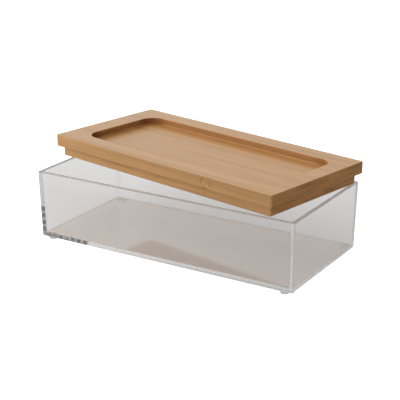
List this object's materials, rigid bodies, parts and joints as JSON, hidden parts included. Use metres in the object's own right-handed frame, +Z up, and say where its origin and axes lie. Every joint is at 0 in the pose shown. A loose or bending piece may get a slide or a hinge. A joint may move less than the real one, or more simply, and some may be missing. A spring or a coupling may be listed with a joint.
{
  "type": "storage organizer",
  "caption": "Long low clear box on small round feet, with a wooden lid laid askew on its rim; the lid has a round-cornered tray in its top and a smaller board below that fits inside the rim.",
  "frame": {"origin": "on the surface that the feet stand on, under the middle of the whole object's outline, which is the middle of the lid", "axes": "+Z up, out of the box; +X along the box's long side, to the right seen from the front; the front of the box faces -Y; the lid lies turned by 11.33 degrees clockwise seen from above"},
  "size_m": [0.2186, 0.1358, 0.0666],
  "materials": {
    "clear_plastic": "clear, polished, faint warm grey at the edges",
    "clear_foot": "clear, slightly milky",
    "bamboo_tray": "satin lacquered bamboo, fine lengthwise grain",
    "bamboo_plug": "satin lacquered bamboo, fine lengthwise grain"
  },
  "bodies": {
    "box": {"clear_box": "clear_plastic", "foot_front_left": "clear_foot", "foot_front_right": "clear_foot", "foot_back_left": "clear_foot", "foot_back_right": "clear_foot"},
    "lid": {"lid_tray_board": "bamboo_tray", "lid_plug_board": "bamboo_plug"}
  },
  "joints": [
    {"name": "lid_lift", "type": "slide", "parent": "box", "child": "lid", "axis": [0, 0, 1], "range_m": [0, 0.08]}
  ]
}
